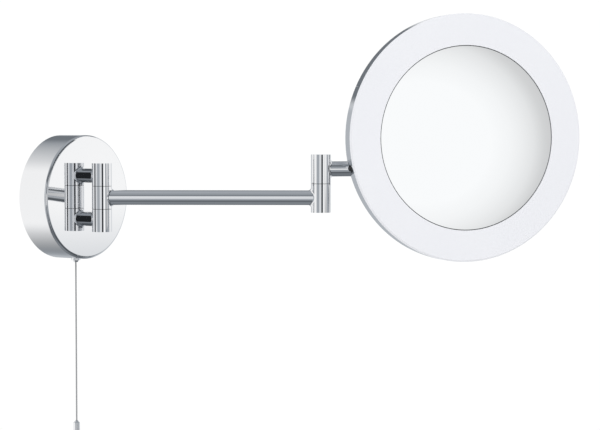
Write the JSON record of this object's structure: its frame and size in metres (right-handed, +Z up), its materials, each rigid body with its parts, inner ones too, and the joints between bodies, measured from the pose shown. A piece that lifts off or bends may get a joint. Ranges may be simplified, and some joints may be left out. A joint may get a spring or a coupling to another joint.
{
  "type": "extendable shaving mirror",
  "caption": "Round lit magnifying mirror on a folding chrome wall arm, with a drum rose and a pull-cord switch.",
  "frame": {"origin": "centre of the rose's back, on the wall", "axes": "+Z up, +Y into the wall, the room is towards -Y"},
  "size_m": [0.3205, 0.3361, 0.3675],
  "materials": {
    "chrome": "polished chrome plate",
    "chrome_head": "polished chrome plate",
    "steel": "zinc-plated sheet steel",
    "back_panel": "satin silver powder coat",
    "cast_block": "satin silver powder coat on a zinc casting",
    "fixings": "zinc-plated steel",
    "brass": "bare brass",
    "spring_steel": "bright spring wire",
    "black_rubber": "matt moulded rubber",
    "seal_foam": "closed-cell foam",
    "white_plastic": "moulded white plastic",
    "black_plastic": "moulded black plastic",
    "bush_plastic": "natural acetal",
    "cable": "white cable sheath",
    "cord": "fine silver-grey braided cord",
    "board": "white-coated aluminium lamp board",
    "led": "phosphor-coated light emitters",
    "light_ring": "frosted white acrylic",
    "mirror": "silvered concave glass"
  },
  "bodies": {
    "rose": {"wall_plate": "steel", "wall_seal": "seal_foam", "cable_grommet": "black_rubber", "rose_cover": "chrome", "cover_screws": "fixings", "backing_plate": "steel", "upper_post": "chrome", "lower_post": "chrome", "post_washers": "fixings", "post_nuts": "fixings", "upper_knuckle": "chrome", "lower_knuckle": "chrome", "hinge_pin": "steel", "hinge_end_plugs": "chrome", "hinge_washers": "black_plastic", "post_lead": "cable", "led_driver": "white_plastic", "driver_screws": "fixings", "terminal_block": "white_plastic", "terminal_screws": "fixings", "switch_housing": "white_plastic", "switch_lid": "white_plastic", "switch_nipple": "chrome", "nipple_nut": "fixings", "rotor_axle": "steel", "contact_leaves": "brass"},
    "pull": {"switch_slider": "bush_plastic", "return_spring": "spring_steel", "cord_inner": "cord", "pull_cord": "cord", "cord_ferrule": "brass", "pull_handle": "chrome"},
    "rotor": {"switch_rotor": "bush_plastic"},
    "arm": {"middle_knuckle": "chrome", "hinge_bushes": "bush_plastic", "arm_tube": "chrome", "arm_lead": "cable", "elbow_lower_knuckle": "chrome", "elbow_pin": "steel", "elbow_bottom_plug": "chrome", "elbow_washer": "black_plastic"},
    "link": {"elbow_upper_knuckle": "chrome", "elbow_bushes": "bush_plastic", "elbow_top_plug": "chrome", "mirror_rod": "chrome", "rod_lead": "cable"},
    "head": {"rim_band": "chrome_head", "back_pan": "back_panel", "tilt_block": "cast_block", "block_screws": "fixings", "friction_screw": "fixings", "pivot_grommet": "black_rubber", "led_board": "board", "leds": "led", "light_wall": "white_plastic", "pan_screws": "fixings", "diffuser_ring": "light_ring", "mirror_glass": "mirror", "mirror_pad": "seal_foam"}
  },
  "joints": [
    {"name": "arm_swing", "type": "hinge", "parent": "rose", "child": "arm", "pos_m": [0, -0.0431, 0], "axis": [0, 0, 1], "range_deg": [-123, 57]},
    {"name": "elbow_swing", "type": "hinge", "parent": "arm", "child": "link", "pos_m": [0.09586, -0.19071, 0], "axis": [0, 0, -1], "range_deg": [-110.5, 149.5]},
    {"name": "head_tilt", "type": "hinge", "parent": "link", "child": "head", "pos_m": [0.12823, -0.21554, 0.023], "axis": [0.7934, -0.6088, 0], "range_deg": [-40, 40]},
    {"name": "cord_pull", "type": "slide", "parent": "rose", "child": "pull", "axis": [0, 0, -1], "range_m": [0, 0.008], "stiffness_N_per_m": 300, "springref_m": -0.008, "deforming": ["return_spring"]},
    {"name": "rotor_turn", "type": "hinge", "parent": "rose", "child": "rotor", "pos_m": [0.0071, -0.01485, -0.036], "axis": [0, 1, 0], "range_deg": [-0.01, 90.01]}
  ],
  "couplings": [
    {"joint": "rotor_turn", "follows": "cord_pull", "rad_per_m": 196.35}
  ]
}
